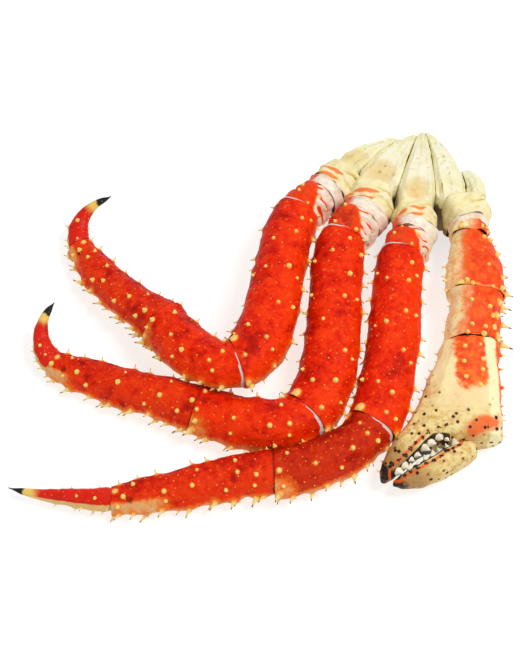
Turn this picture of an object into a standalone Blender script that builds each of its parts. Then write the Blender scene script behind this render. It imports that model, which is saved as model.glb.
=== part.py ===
"""Cooked red king crab cluster: three walking legs and a claw arm on their shoulder.

The cluster lies on its side on a table. +Z is up, +X runs towards the claw arm and +Y towards
the shoulder. The legs reach towards -Y, and bend at the knee towards -X. The origin is at the
middle of the footprint, on the table. Sizes below are in millimetres, and angles in degrees.

Every limb is a chain of shell segments that starts at its socket in the shoulder. Two segments
meet face to face in the plane of their joint, whose heading is given.
"""

import math
import random
from collections import namedtuple

import bmesh
import bpy
from mathutils import Vector

MM = 0.001
UP = Vector((0, 0, 1))
JOINT_GAP = 0.6  # between the faces of two segments that meet
SEAM_GAP = 0.7  # between two plates of the shoulder
TENSION = 0.75  # how strongly the joint planes steer the curve of a segment

# ---------------------------------------------------------------- driving dimensions

# One shell segment: its chord, the heading and rise of that chord, how its far joint faces, and
# how far its middle bows towards its outer side.
Segment = namedtuple("Segment", "name length heading rise facing far_rise bow")

# One limb: where it leaves the shoulder, how that socket faces, and how stout its shells are.
Limb = namedtuple("Limb", "name socket facing girth segments")

LEGS = (
    Limb("leg_1", (69, 149.2, 36.9), -134, 1.04, (
        Segment("coxa", 23.4, -133, 3, -130, 0, 0),
        Segment("membrane", 9.5, -131, 3, -132, 0, 0),
        Segment("ischium", 25, -138, 0, -124, 0, 0),
        Segment("merus", 160.5, -108.6, 0, -160, 0, -1),
        Segment("carpus", 77, 141.5, -8, 135, -6, 4.5),
        Segment("propodus", 118, 130.5, -7, 120, 0, 3.5),
        Segment("dactyl", 51, 53, 30, 15, 30, 7),
    )),
    Limb("leg_2", (93.3, 130.3, 36.9), -118, 1.06, (
        Segment("coxa", 23.8, -114, 2, -118, 0, 0),
        Segment("membrane", 9.5, -119, 2, -122, 0, 0),
        Segment("ischium", 24.5, -126, 0, -113, 0, 0),
        Segment("merus", 166, -102, -5.5, -135, 0, 2),
        Segment("carpus", 82.8, 173, -3, 160, 0, 3),
        Segment("propodus", 127, 158.7, -3, 148, 0, -0.5),
        Segment("dactyl", 49, 89.5, 30, 36, 30, 4),
    )),
    Limb("leg_3", (126.3, 111.4, 35.9), -98, 1.0, (
        Segment("coxa", 20.4, -98, 2, -103, 0, 0),
        Segment("membrane", 8.5, -106, 0, -109, 0, 0),
        Segment("ischium", 20, -115, 0, -108, -4, 0.5),
        Segment("merus", 159, -101.8, -6, -121, 0, 1.5),
        Segment("carpus", 83, -153.6, -1.5, -178, 0, 2),
        Segment("propodus", 122.3, -170.8, -3, -177, 0, 0.5),
        Segment("dactyl", 79, 172.5, -1, 160, 0, 0),
    )),
)

CLAW_ARM = Limb("claw", (168.1, 116.5, 35), -84, 0.94, (
    Segment("coxa", 19.6, -82, 0, -86, 0, 0),
    Segment("membrane", 5, -88, 0, -90, 0, 0),
    Segment("ischium", 9, -88, 0, -91, 0, 0),
    Segment("merus", 59, -92, -2, -96, 0, 0),
    Segment("carpus", 43, -98.2, -15, -92, 0, 0.5),
))

# How the shell of each kind of segment is shaped: half its width and half its thickness at the
# near and far joint, how square its section is, how far its middle stands proud of a straight
# line between the joints, and how much of its near end is rounded over.
Shell = namedtuple("Shell", "near far square belly near_round far_round")

SHELLS = {
    "coxa": Shell((14.5, 20), (16, 19), 2.6, 0.06, 0.10, 0.10),
    "membrane": Shell((14.5, 16.5), (14.5, 16), 2.0, 0.05, 0.0, 0.0),
    "ischium": Shell((16, 17.5), (17, 16.5), 2.3, 0.08, 0.10, 0.08),
    "merus": Shell((18.5, 17), (20.5, 16.5), 2.3, 0.04, 0.30, 0.06),
    "carpus": Shell((17, 15.5), (17.5, 14.5), 2.3, 0.07, 0.12, 0.06),
    "propodus": Shell((16.5, 14), (11.5, 9.5), 2.2, 0.03, 0.10, 0.05),
    "dactyl": Shell((9.5, 8.5), (1.0, 1.0), 2.0, 0.10, 0.06, 0.0),
}
CLAW_SHELLS = {
    "coxa": Shell((17, 20), (17.5, 19), 2.6, 0.08, 0.06, 0.06),
    "membrane": Shell((14, 15), (14, 15), 2.0, 0.04, 0.0, 0.0),
    "ischium": Shell((17, 18), (17, 17), 2.4, 0.08, 0.10, 0.06),
    "merus": Shell((16.5, 16), (25, 19), 2.4, 0.08, 0.20, 0.05),
    "carpus": Shell((18.5, 17.5), (22.5, 19.5), 2.5, 0.03, 0.14, 0.04),
}

# The palm and its fixed finger, as stations from the wrist: how far along the palm, how far
# towards its outer side, half the width, half the thickness, and the turn of the section.
PALM_HEADING = -92
PALM_STATIONS = (
    (0.0, 0.0, 21.5, 16.5, 0),
    (5.0, -1.0, 23.0, 18.5, 0),
    (15.0, -3.1, 24.7, 19.5, 0),
    (32.0, -7.1, 28.8, 20.5, 0),
    (48.0, -10.0, 31.0, 20.5, -1),
    (64.0, -13.5, 34.5, 20.0, -2),
    (75.0, -16.8, 37.3, 19.0, -3),
    (82.0, -19.0, 38.8, 17.0, -4),
    (85.5, -41.0, 19.5, 15.5, -8),
    (92.0, -52.0, 12.2, 14.0, -16),
    (101.0, -60.0, 9.8, 12.0, -24),
    (109.0, -66.0, 7.8, 9.5, -30),
    (115.5, -70.0, 5.2, 6.5, -30),
    (120.0, -71.8, 2.0, 3.0, -26),
)
FINGER_STATIONS = (
    (92.0, -3.5, 6.0, 10.0, -58),
    (94.5, -9.0, 8.2, 12.5, -56),
    (101.0, -20.0, 9.3, 13.5, -58),
    (108.8, -33.0, 9.0, 12.5, -60),
    (115.3, -46.0, 8.0, 10.5, -64),
    (119.8, -57.0, 5.5, 7.0, -74),
    (121.5, -64.5, 1.8, 2.5, -84),
)
PALM_DROP = 5.0  # how far the fingertips hang below the wrist

# The shoulder is a fan of plates round one centre, cut off square where the crab was split.
# A seam between two plates is given by its heading at the centre and at FAN_REACH from it.
FAN_CENTRE = (141, 214, 0)
FAN_REACH = 100
SEAMS = ((-152, -149), (-134, -134), (-109, -108.5), (-84, -88), (-56, -71.5), (-53, -60.5))
PLATE_SPANS = ((28, 95), (15, 95), (9, 103), (11, 99), (64, 101))  # back and front radius
PLATE_HALF = (15, 26.5)  # half its height at the back and at the front
PLATE_CROWN = 4  # how far the middle of the fan stands above its sides

# A row of spines: which side face of the shell carries it, the first and last ring and the step
# between spines, and how tall they are.
Row = namedtuple("Row", "side first last step height")

SIDES = 12
SPINES = {
    "merus": (
        Row(0, 1, 8, 1, 5.0), Row(2, 2, 8, 3, 2.5), Row(3, 3, 8, 2, 2.5),
        Row(5, 1, 7, 2, 4.5), Row(11, 5, 8, 3, 4.0),
    ),
    "carpus": (
        Row(0, 1, 5, 2, 4.5), Row(2, 2, 5, 2, 3.0), Row(3, 3, 5, 2, 3.0), Row(5, 3, 5, 2, 3.0),
    ),
    "propodus": (
        Row(0, 1, 8, 2, 5.5), Row(11, 2, 8, 2, 5.0), Row(2, 1, 8, 3, 2.5), Row(5, 1, 8, 2, 3.0),
    ),
    "dactyl": (Row(0, 1, 1, 1, 4.0), Row(2, 1, 1, 1, 3.5)),
    "claw_merus": (Row(0, 1, 5, 1, 4.5), Row(1, 3, 5, 1, 4.0), Row(3, 2, 5, 3, 2.5)),
    "claw_carpus": (Row(0, 0, 4, 1, 6.5), Row(1, 1, 4, 2, 5.0), Row(3, 1, 4, 2, 3.0)),
    "claw_palm": (Row(0, 1, 4, 1, 4.5), Row(1, 1, 3, 2, 4.0), Row(3, 1, 2, 1, 3.0)),
}
RINGS = {
    "coxa": 4, "membrane": 2, "ischium": 4, "merus": 11, "carpus": 7, "propodus": 10, "dactyl": 8,
}

COLOURS = {
    "shell_red": ((0.80, 0.09, 0.02), 0.35),
    "shell_cream": ((0.87, 0.78, 0.52), 0.45),
    "membrane_white": ((0.85, 0.78, 0.68), 0.40),
    "claw_cream": ((0.84, 0.62, 0.34), 0.42),
}


# ---------------------------------------------------------------- scene and materials

def clear_scene():
    for obj in list(bpy.data.objects):
        bpy.data.objects.remove(obj)


def make_material(name):
    """One Principled finish, from COLOURS."""
    colour, roughness = COLOURS[name]
    material = bpy.data.materials.new(name)
    material.use_nodes = True
    shader = material.node_tree.nodes["Principled BSDF"]
    shader.inputs["Base Color"].default_value = (*colour, 1)
    shader.inputs["Roughness"].default_value = roughness
    shader.inputs["Metallic"].default_value = 0
    return material


def add_object(name, bm, material, collection):
    """Makes a named object of a finished bmesh, shaded smooth across its gentle edges."""
    bmesh.ops.recalc_face_normals(bm, faces=bm.faces)
    mesh = bpy.data.meshes.new(name)
    bm.to_mesh(mesh)
    bm.free()
    mesh.shade_smooth()
    mesh.set_sharp_from_angle(angle=math.radians(50))
    mesh.materials.append(material)
    obj = bpy.data.objects.new(name, mesh)
    collection.objects.link(obj)
    return obj


# ---------------------------------------------------------------- lofted shells

def direction(heading, rise=0.0):
    """The unit vector of a heading, counted from +X towards +Y, and a rise above the table."""
    h, r = math.radians(heading), math.radians(rise)
    return Vector((math.cos(h) * math.cos(r), math.sin(h) * math.cos(r), math.sin(r)))


def section_axes(along):
    """The outer side and the upper face of a shell that runs along this direction."""
    face = (UP - along * UP.dot(along)).normalized()
    return face.cross(along), face


def add_ring(bm, centre, along, half_width, half_thick, square, sides=SIDES):
    """A ring of vertices round a superellipse: the outer side first, then the upper face."""
    outer, face = section_axes(along)
    ring = []
    for k in range(sides):
        angle = 2 * math.pi * k / sides
        c, s = math.cos(angle), math.sin(angle)
        across = math.copysign(abs(c) ** (2 / square), c) * half_width
        upward = math.copysign(abs(s) ** (2 / square), s) * half_thick
        ring.append(bm.verts.new((centre + outer * across + face * upward) * MM))
    return ring


def skin_rings(bm, rings):
    """Joins the rings with quads and closes both ends. Returns the quads by ring and side."""
    quads = []
    for near, far in zip(rings, rings[1:]):
        sides = len(near)
        quads.append([
            bm.faces.new((near[k], near[(k + 1) % sides], far[(k + 1) % sides], far[k]))
            for k in range(sides)
        ])
    bm.faces.new(reversed(rings[0]))
    bm.faces.new(rings[-1])
    return quads


def raise_spine(bm, face, along, height, rng):
    """Draws a spine out of one quad: a small square foot, and a point that leans to the tip."""
    base = min(2.2, 0.55 * height) * MM
    centre = face.calc_center_median()
    normal = face.normal.copy()
    bmesh.ops.inset_individual(bm, faces=[face], thickness=0.3 * MM, depth=0)
    for vert in face.verts:
        vert.co = centre + (vert.co - centre).normalized() * base
    tip = bmesh.ops.poke(bm, faces=[face])["verts"][0]
    lean = normal + along * rng.uniform(0.25, 0.6)
    tip.co = centre + lean.normalized() * height * rng.uniform(0.8, 1.1) * MM


def grow_spines(bm, quads, rows, along, seed):
    """Raises each row's spines along the shell."""
    rng = random.Random(seed)
    bm.normal_update()
    for row in rows:
        for ring in range(row.first, min(row.last, len(quads) - 1) + 1, row.step):
            raise_spine(bm, quads[ring][row.side], along, row.height, rng)


def rounding(t, near_round, far_round, length, half):
    """How full a section is at the share t of the length, as the shell's ends close over."""
    full = 1.0
    for distance, share in ((t, near_round), (1 - t, far_round)):
        reach = half * 0.6 / length
        if share and distance < reach:
            full *= 1 - share * (1 - math.sqrt(1 - (1 - distance / reach) ** 2))
    return full


def ring_shares(count, length, half):
    """Shares of the length at which the rings lie: closer together in the rounded ends."""
    reach = half * 0.6 / length
    ends = [0, 0.25 * reach, reach]
    if count <= 4:
        return [i / count for i in range(count + 1)]
    inner = count - 4
    middle = [reach + (1 - 2 * reach) * i / inner for i in range(1, inner)]
    return ends + middle + [1 - share for share in reversed(ends)]


def bowed_curve(start, end, start_facing, end_facing, bow, t):
    """A point and its direction on a curve that leaves and arrives square to the joints.

    Its middle bows sideways, towards the outer side of the straight line between the joints.
    """
    chord = end - start
    a, b = start_facing * chord.length * TENSION, end_facing * chord.length * TENSION
    sideways = section_axes(chord.normalized())[0] * bow
    point = (
        start * (2 * t ** 3 - 3 * t ** 2 + 1) + a * (t ** 3 - 2 * t ** 2 + t)
        + end * (3 * t ** 2 - 2 * t ** 3) + b * (t ** 3 - t ** 2)
        + sideways * math.sin(math.pi * t) ** 2
    )
    slope = (
        start * (6 * t ** 2 - 6 * t) + a * (3 * t ** 2 - 4 * t + 1)
        + end * (6 * t - 6 * t ** 2) + b * (3 * t ** 2 - 2 * t)
        + sideways * math.pi * math.sin(2 * math.pi * t)
    )
    return point, slope.normalized()


def loft_segment(joints, bow, shell, girth, count):
    """The closed shell of one segment between its two joint planes, and its side quads."""
    (start, start_facing), (end, end_facing) = joints
    start = start + start_facing * JOINT_GAP / 2
    end = end - end_facing * JOINT_GAP / 2
    length = (end - start).length
    bm = bmesh.new()
    rings = []
    for t in ring_shares(count, length, shell.near[0]):
        centre, along = bowed_curve(start, end, start_facing, end_facing, bow, t)
        belly = 1 + shell.belly * math.sin(math.pi * t)
        width, thick = (
            (near + (far - near) * t) * girth * belly
            * rounding(t, shell.near_round, shell.far_round, length, near)
            for near, far in zip(shell.near, shell.far)
        )
        rings.append(add_ring(bm, centre, along, width, thick, shell.square))
    return bm, skin_rings(bm, rings)


# ---------------------------------------------------------------- limbs

def joint_chain(limb):
    """The joints of a limb from its socket outwards, as points and facings."""
    point, facing = Vector(limb.socket), direction(limb.facing)
    joints = [(point, facing)]
    for segment in limb.segments:
        point = point + direction(segment.heading, segment.rise) * segment.length
        joints.append((point, direction(segment.facing, segment.far_rise)))
    return joints


def segment_material(name, arm):
    if name == "coxa":
        return "shell_cream"
    if name == "membrane":
        return "membrane_white"
    return "claw_cream" if arm and name == "carpus" else "shell_red"


def make_limb(limb, shells, materials, collection):
    """Each segment of a limb, from the socket to the last joint. Returns that last joint."""
    arm = shells is CLAW_SHELLS
    joints = joint_chain(limb)
    for index, segment in enumerate(limb.segments):
        count = 7 if arm and segment.name in ("merus", "carpus") else RINGS[segment.name]
        bm, quads = loft_segment(
            joints[index:index + 2], segment.bow, shells[segment.name], limb.girth, count
        )
        kind = f"claw_{segment.name}" if arm else segment.name
        heading = direction(segment.heading)
        grow_spines(bm, quads, SPINES.get(kind, ()), heading, f"{limb.name} {kind}")
        material = materials[segment_material(segment.name, arm)]
        add_object(f"{limb.name}_{segment.name}", bm, material, collection)
    return joints[-1]


# ---------------------------------------------------------------- claw

def station_rings(bm, stations, wrist):
    """Rings at stations that are given from the wrist, for the palm and for the finger."""
    along, outer = direction(PALM_HEADING), direction(PALM_HEADING + 90)
    reach = stations[-1][0]
    rings = []
    for advance, sideways, half_width, half_thick, turn in stations:
        drop = UP * (PALM_DROP * (advance / reach) ** 2)
        centre = wrist + along * advance + outer * sideways - drop
        rings.append(add_ring(bm, centre, direction(PALM_HEADING + turn), half_width,
                              half_thick, 2.3))
    return rings


def make_claw(wrist, materials, collection):
    """The palm with its fixed finger, and the movable finger that closes against it."""
    wrist = wrist + direction(PALM_HEADING) * JOINT_GAP / 2
    palm = bmesh.new()
    quads = skin_rings(palm, station_rings(palm, PALM_STATIONS, wrist))
    grow_spines(palm, quads, SPINES["claw_palm"], direction(PALM_HEADING), "claw_palm")
    add_object("claw_palm", palm, materials["claw_cream"], collection)
    finger = bmesh.new()
    skin_rings(finger, station_rings(finger, FINGER_STATIONS, wrist))
    add_object("claw_finger", finger, materials["claw_cream"], collection)


# ---------------------------------------------------------------- shoulder

def make_plate(index, materials, collection):
    """One wedge of the fan, between two seams that run out from the fan's centre."""
    back, front = PLATE_SPANS[index]
    bm = bmesh.new()
    rings = []
    count = 6
    for i in range(count + 1):
        t = i / count
        radius = back + (front - back) * t
        left, right = (
            near + (far - near) * radius / FAN_REACH for near, far in SEAMS[index:index + 2]
        )
        heading, half_angle = (left + right) / 2, math.radians((right - left) / 2)
        crown = PLATE_CROWN * math.sin(math.pi * t) * (1 - abs(index - 2) / 3)
        half_height = PLATE_HALF[0] + (PLATE_HALF[1] - PLATE_HALF[0]) * math.sin(
            math.pi * 0.5 * min(1, 1.25 * t)
        ) + crown / 2
        half_width = radius * math.tan(half_angle) - SEAM_GAP / 2
        centre = Vector(FAN_CENTRE) + direction(heading) * radius
        centre.z = PLATE_HALF[1] + 0.5 + crown / 2
        close = rounding(t, 0.25, 0.18, front - back, 14)
        rings.append(add_ring(
            bm, centre, direction(heading), half_width * close, half_height * close, 3.4
        ))
    skin_rings(bm, rings)
    add_object(f"shoulder_plate_{index + 1}", bm, materials["shell_cream"], collection)


# ---------------------------------------------------------------- the whole cluster

def centre_on_table(objects):
    """Moves every solid so that the origin is at the middle of the footprint, on the table."""
    corners = [obj.matrix_world @ vert.co for obj in objects for vert in obj.data.vertices]
    low = Vector(min(c[i] for c in corners) for i in range(3))
    high = Vector(max(c[i] for c in corners) for i in range(3))
    shift = Vector((-(low.x + high.x) / 2, -(low.y + high.y) / 2, -low.z))
    for obj in objects:
        for vert in obj.data.vertices:
            vert.co += shift


def main():
    clear_scene()
    collection = bpy.data.collections.new("king_crab_cluster")
    bpy.context.scene.collection.children.link(collection)
    materials = {name: make_material(name) for name in COLOURS}
    for index in range(len(PLATE_SPANS)):
        make_plate(index, materials, collection)
    for leg in LEGS:
        make_limb(leg, SHELLS, materials, collection)
    wrist, _ = make_limb(CLAW_ARM, CLAW_SHELLS, materials, collection)
    make_claw(wrist, materials, collection)
    centre_on_table(list(collection.objects))


main()
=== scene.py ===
"""The looks of a cooked red king crab cluster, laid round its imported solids.

Each solid of the frame is measured: its flat joint faces give the joints, and sections through it
give its middle line and its width. A finer shell is then drawn along that line. Spines, warts,
bristles and teeth are grown on the shells by Geometry Nodes. Lengths are metres, as in the frame;
lengths with MM beside them are millimetres.
"""

import math
import random

import bmesh
import bpy
import numpy as np
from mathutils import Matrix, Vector
from mathutils.bvhtree import BVHTree


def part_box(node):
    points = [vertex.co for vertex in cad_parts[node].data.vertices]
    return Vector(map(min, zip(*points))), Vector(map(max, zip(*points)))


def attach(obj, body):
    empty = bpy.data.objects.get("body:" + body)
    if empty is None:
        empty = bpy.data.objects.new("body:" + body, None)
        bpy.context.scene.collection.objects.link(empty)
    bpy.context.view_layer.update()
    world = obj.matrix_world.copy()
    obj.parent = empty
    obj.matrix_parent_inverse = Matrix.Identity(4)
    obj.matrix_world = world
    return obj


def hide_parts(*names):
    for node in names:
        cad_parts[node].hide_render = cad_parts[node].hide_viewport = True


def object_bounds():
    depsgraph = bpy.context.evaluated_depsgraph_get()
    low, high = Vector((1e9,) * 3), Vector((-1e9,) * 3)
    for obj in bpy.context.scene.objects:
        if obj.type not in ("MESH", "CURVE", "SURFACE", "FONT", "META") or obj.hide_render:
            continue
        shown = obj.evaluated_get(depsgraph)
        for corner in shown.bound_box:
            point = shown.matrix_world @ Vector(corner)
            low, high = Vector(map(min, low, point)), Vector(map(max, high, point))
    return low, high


MM = 0.001
UP = Vector((0, 0, 1))
LEGS = ("leg_1", "leg_2", "leg_3")
LEG_PARTS = ("coxa", "membrane", "ischium", "merus", "carpus", "propodus", "dactyl")
ARM_PARTS = ("coxa", "membrane", "ischium", "merus", "carpus")

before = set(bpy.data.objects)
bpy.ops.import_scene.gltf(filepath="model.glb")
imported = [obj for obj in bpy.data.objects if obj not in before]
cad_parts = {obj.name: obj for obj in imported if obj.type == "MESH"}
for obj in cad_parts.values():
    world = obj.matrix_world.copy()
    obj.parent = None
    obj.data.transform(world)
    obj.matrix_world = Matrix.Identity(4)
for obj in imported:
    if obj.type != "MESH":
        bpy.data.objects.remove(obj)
cad_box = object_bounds()


# ---------------------------------------------------------------- node graphs

def linear(colour):
    """A display colour, 0 to 255, as the linear colour that a shader takes. A Wire passes."""
    if isinstance(colour, Wire):
        return colour
    shares = [value / 255 for value in colour]
    return [s / 12.92 if s < 0.04045 else ((s + 0.055) / 1.055) ** 2.4 for s in shares] + [1]


class Wire:
    """A node's output. Arithmetic on it adds Math nodes to its graph."""

    def __init__(self, graph, socket):
        self.graph, self.socket = graph, socket

    def _math(self, operation, first, second):
        return self.graph.node("ShaderNodeMath", {"operation": operation}, {0: first, 1: second})

    def __add__(self, other):
        return self._math("ADD", self, other)

    def __radd__(self, other):
        return self._math("ADD", other, self)

    def __sub__(self, other):
        return self._math("SUBTRACT", self, other)

    def __rsub__(self, other):
        return self._math("SUBTRACT", other, self)

    def __mul__(self, other):
        return self._math("MULTIPLY", self, other)

    def __rmul__(self, other):
        return self._math("MULTIPLY", other, self)


class Graph:
    """A shader or geometry graph that is built by calls to node()."""

    def __init__(self, tree):
        self.tree = tree

    def node(self, kind, settings=None, inputs=None, output=0):
        """Adds a node, sets it up, joins or fills its sockets, and gives one output as a Wire."""
        made = self.tree.nodes.new(kind)
        for name, value in (settings or {}).items():
            if name == "stops":
                set_stops(made.color_ramp, value)
            else:
                setattr(made, name, value)
        for name, value in (inputs or {}).items():
            if isinstance(value, Wire):
                self.tree.links.new(value.socket, made.inputs[name])
            else:
                made.inputs[name].default_value = value
        return Wire(self, made.outputs[output]) if made.outputs else made

    def noise(self, where, scale, detail=3.0, roughness=0.5):
        return self.node("ShaderNodeTexNoise", {}, {
            "Vector": where, "Scale": scale, "Detail": detail, "Roughness": roughness,
        }, "Fac")

    def cells(self, where, scale, randomness=1.0):
        """Distance to the nearest of a scatter of points: 0 at a point."""
        return self.node("ShaderNodeTexVoronoi", {}, {
            "Vector": where, "Scale": scale, "Randomness": randomness,
        }, "Distance")

    def step(self, value, low, high):
        """A smooth step: 0 below low and 1 above high, or the other way round if high is less."""
        return self.node("ShaderNodeMapRange", {"interpolation_type": "SMOOTHSTEP"}, {
            "Value": value, "From Min": low, "From Max": high,
        })

    def mix(self, first, second, share):
        """Blends two colours."""
        return self.node("ShaderNodeMix", {"data_type": "RGBA", "clamp_factor": True}, {
            0: share, 6: linear(first), 7: linear(second),
        }, 2)

    def coats(self, colour, *coats):
        """Lays coats over a colour, each (tint, share) or (tint, value, low, high, strength).

        The second kind is a step from low to high, and may leave out its strength.
        """
        for tint, value, *band in coats:
            share = self.step(value, *band[:2]) if band else value
            colour = self.mix(colour, tint, share * band[2] if len(band) == 3 else share)
        return colour

    def attributes(self, names):
        """The stored attributes with these names, as a list of Wires."""
        return [self.node("ShaderNodeAttribute", {"attribute_name": name}, {}, "Fac")
                for name in names.split()]


def set_stops(ramp, stops):
    """Sets a colour ramp's stops from (place, colour) pairs."""
    while len(ramp.elements) < len(stops):
        ramp.elements.new(0.5)
    for element, (place, colour) in zip(ramp.elements, stops):
        element.position, element.color = place, linear(colour)


def finish(paint):
    """Turns a function that paints on a graph into one that makes a material.

    paint gives the colour, the roughness, the gloss and, where there is relief, its height and
    its depth in millimetres.
    """
    def make(name, *options):
        material = bpy.data.materials.new(name)
        material.use_nodes = True
        tree = material.node_tree
        tree.nodes.clear()
        g = Graph(tree)
        where = g.node("ShaderNodeTexCoord", {}, {}, "Object")
        colour, roughness, gloss, *relief = paint(g, where, *options)
        sockets = {"Base Color": colour, "Roughness": roughness, "Specular IOR Level": gloss}
        if relief:
            sockets["Normal"] = g.node("ShaderNodeBump", {}, {
                "Height": relief[0], "Distance": relief[1] * MM, "Strength": 1.0,
            })
        shader = g.node("ShaderNodeBsdfPrincipled", {}, sockets)
        g.node("ShaderNodeOutputMaterial", {}, {"Surface": shader})
        return material

    return make


# ---------------------------------------------------------------- finishes

BRIGHT_RED = (246, 55, 2)
MID_RED = (225, 29, 0)
DEEP_RED = (168, 14, 0)
ORANGE = (250, 118, 28)
PEACH = (236, 168, 92)
SPINE_CREAM = (246, 212, 118)


@finish
def red_shell(g, where, bright=BRIGHT_RED, mid=MID_RED, deep=DEEP_RED, belly=PEACH):
    """Cooked red shell: mottled and scratched, cream round its spines and pale underneath, with
    painted light and shade: lighter towards its upper face and outer side, darker on its inner
    side, and dark inside its joint cups.
    """
    outer, face, tan, thorn, skin, folded, inside = g.attributes(
        "outer face tan thorn skin folded inside")
    broad = g.noise(where, 40, 3)
    mottle = g.noise(where, 150, 6, 0.7)
    fine = g.noise(where, 620, 3, 0.6)
    # The tone is random mottle plus painted light and shade: lighter towards the upper face and
    # the outer side, darker on the inner side.
    shell_tone_and_painted_light = broad * 0.6 + mottle + face * 0.10 + outer * 0.14
    foot = thorn + fine * 0.3
    colour = g.coats(
        deep,
        (mid, shell_tone_and_painted_light, 0.58, 0.84),
        (bright, shell_tone_and_painted_light, 0.78, 1.04),
        (ORANGE, g.noise(where, 230, 5, 0.75) + broad * 0.2, 0.66, 0.78, 0.45),
        ((146, 16, 2), broad * 0.9 + mottle * 0.6, 0.68, 0.54, 0.42),
        (ORANGE, tan + mottle * 0.8 + fine * 0.3, 0.75, 1.25, 0.85),
        (belly, tan + mottle * 1.3 + fine * 0.4, 1.30, 1.85, 0.8),
        (belly, face + mottle * 0.6 - broad * 0.25, -0.10, -0.50),
        (ORANGE, foot, 0.40, 0.80, 0.8),
        (SPINE_CREAM, foot, 0.80, 1.10, 0.9),
        ((92, 12, 2), g.cells(where, 190) + mottle * 0.14, 0.19, 0.11, 0.75),
        (ORANGE, folded + mottle * 0.5, 0.30, 0.60, 0.8),
        ((244, 226, 204), folded + mottle * 0.8, 0.65, 1.05),
        ((218, 204, 194), skin + fine * 0.2, 0.5, 0.8),
        # Painted shade: dark inside the joint cup. On the propodus this also holds a painted
        # shadow line at the wrist and a dark stain near the far end.
        ((80, 16, 6), inside * 0.9),
    )
    return colour, 0.30 + fine * 0.26, 0.08, fine * 0.35 + mottle * 0.9, 1.1


@finish
def toe_shell(g, where, curled):
    """A toe: red at its base, cream below, then a yellow band and a black horny tip."""
    tip, lean = (0.74, 1.2) if curled else (0.80, 1.5)
    along, outer, face = g.attributes("along outer face")
    mottle = g.noise(where, 160, 4, 0.6)
    fine = g.noise(where, 700, 3)
    place = along + (mottle - 0.5) * 0.09
    colour = g.coats(
        DEEP_RED,
        (MID_RED, mottle + face * 0.2, 0.35, 0.7),
        ((226, 184, 114), face - outer * lean + mottle * 0.7, -0.15, -0.45),
        ((242, 204, 104), place, tip - 0.16, tip - 0.05),
        ((34, 30, 30), place, tip, tip + 0.035),
        ((229, 205, 138), g.cells(where, 300), 0.17, 0.08, 0.5),
    )
    return colour, 0.32 + fine * 0.2, 0.2, fine * 0.4 + mottle * 0.5, 0.35


@finish
def plate_shell(g, where):
    """A shoulder plate: ivory, with painted tan shade in the hollows near its front, and painted
    dark shade along its seams, where it faces down and in the hole low at its front.
    """
    along, seam, hollow, pocket, face = g.attributes("along seam hollow pocket face")
    broad = g.noise(where, 30, 3)
    mottle = g.noise(where, 150, 5, 0.65)
    fine = g.noise(where, 700, 3, 0.6)
    edge = seam + mottle * 0.5
    colour = g.coats(
        (236, 232, 182),
        ((241, 232, 196), broad, 0.4, 0.65),
        ((250, 247, 226), mottle + broad * 0.3, 0.58, 0.80, 0.7),
        # Painted shade: tan in the hollows of the upper side.
        ((232, 208, 148), hollow * 0.9 + mottle * 0.9 + broad * 0.4, 0.85, 1.55, 0.9),
        ((206, 176, 98), mottle + fine * 0.25 + along * 0.16, 0.78, 0.94, 0.55),
        # Near a neighbour plate: a yellow outline, then dark painted shade in the seam.
        ((222, 206, 104), edge, 0.35, 0.85, 0.6),
        ((62, 46, 24), edge, 0.85, 1.10),
        # Painted shade: browner where the plate faces down.
        ((190, 152, 88), face + mottle * 0.5, 0.0, -0.45),
        ((248, 186, 104), along + mottle * 0.3 + hollow * 0.2, 1.12, 1.36, 0.5),
        # Painted shade: dark brown low at the front, where the hole between the base rings is.
        ((86, 52, 24), pocket + mottle * 0.5, 0.55, 0.95, 0.9),
    )
    return colour, 0.45 + fine * 0.2, 0.2, fine * 0.3 + mottle * 0.8, 0.8


@finish
def coxa_shell(g, where):
    """A base ring: cream, with orange stripes over its upper inner half, and painted brown shade
    below, in its creases and inside its cup.
    """
    outer, face, stripe, crust, inside = g.attributes("outer face stripe crust inside")
    mottle = g.noise(where, 150, 5, 0.65)
    fine = g.noise(where, 700, 3, 0.6)
    colour = g.coats(
        (244, 233, 184),
        ((236, 215, 148), mottle, 0.42, 0.7),
        # Painted shade below, in the creases and on the lower outer side: a yellow edge, then
        # brown.
        ((222, 198, 100), crust + mottle * 0.6, 0.45, 0.85, 0.7),
        ((250, 236, 216), mottle - outer * 0.1, 0.40, 0.28, 0.6),
        ((248, 120, 34), stripe + mottle * 0.5, 0.6, 0.85, 0.9),
        # Painted shade: browner where the ring faces down.
        ((176, 120, 54), face + mottle * 0.6, 0.10, -0.30),
        ((120, 70, 26), crust + mottle * 0.7 - face * 0.25, 0.72, 1.05, 0.8),
        # Painted shade: dark inside the joint cup.
        ((108, 62, 30), inside),
    )
    return colour, 0.42 + fine * 0.2, 0.2, fine * 0.4 + mottle * 0.8, 0.8


@finish
def joint_skin(g, where, redness):
    """The folded skin of a joint: pinkish white, red towards its inner side and in its folds, with
    painted brown shade on its lower outer side.
    """
    fold, outer, face = g.attributes("fold outer face")
    mottle = g.noise(where, 170, 4, 0.6)
    colour = g.coats(
        (248, 238, 220),
        ((238, 214, 188), mottle, 0.4, 0.7),
        ((232, 76, 24), fold + mottle * 0.6, 0.40, 0.16, redness),
        ((238, 84, 28), outer + mottle * 0.6, -0.10, -0.50, redness),
        # Painted shade: brown on the lower outer side.
        ((164, 102, 46), face - outer * 0.5 + mottle * 0.7, 0.00, -0.45),
    )
    return colour, 0.30 + mottle * 0.2, 0.4, mottle, 0.8


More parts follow.
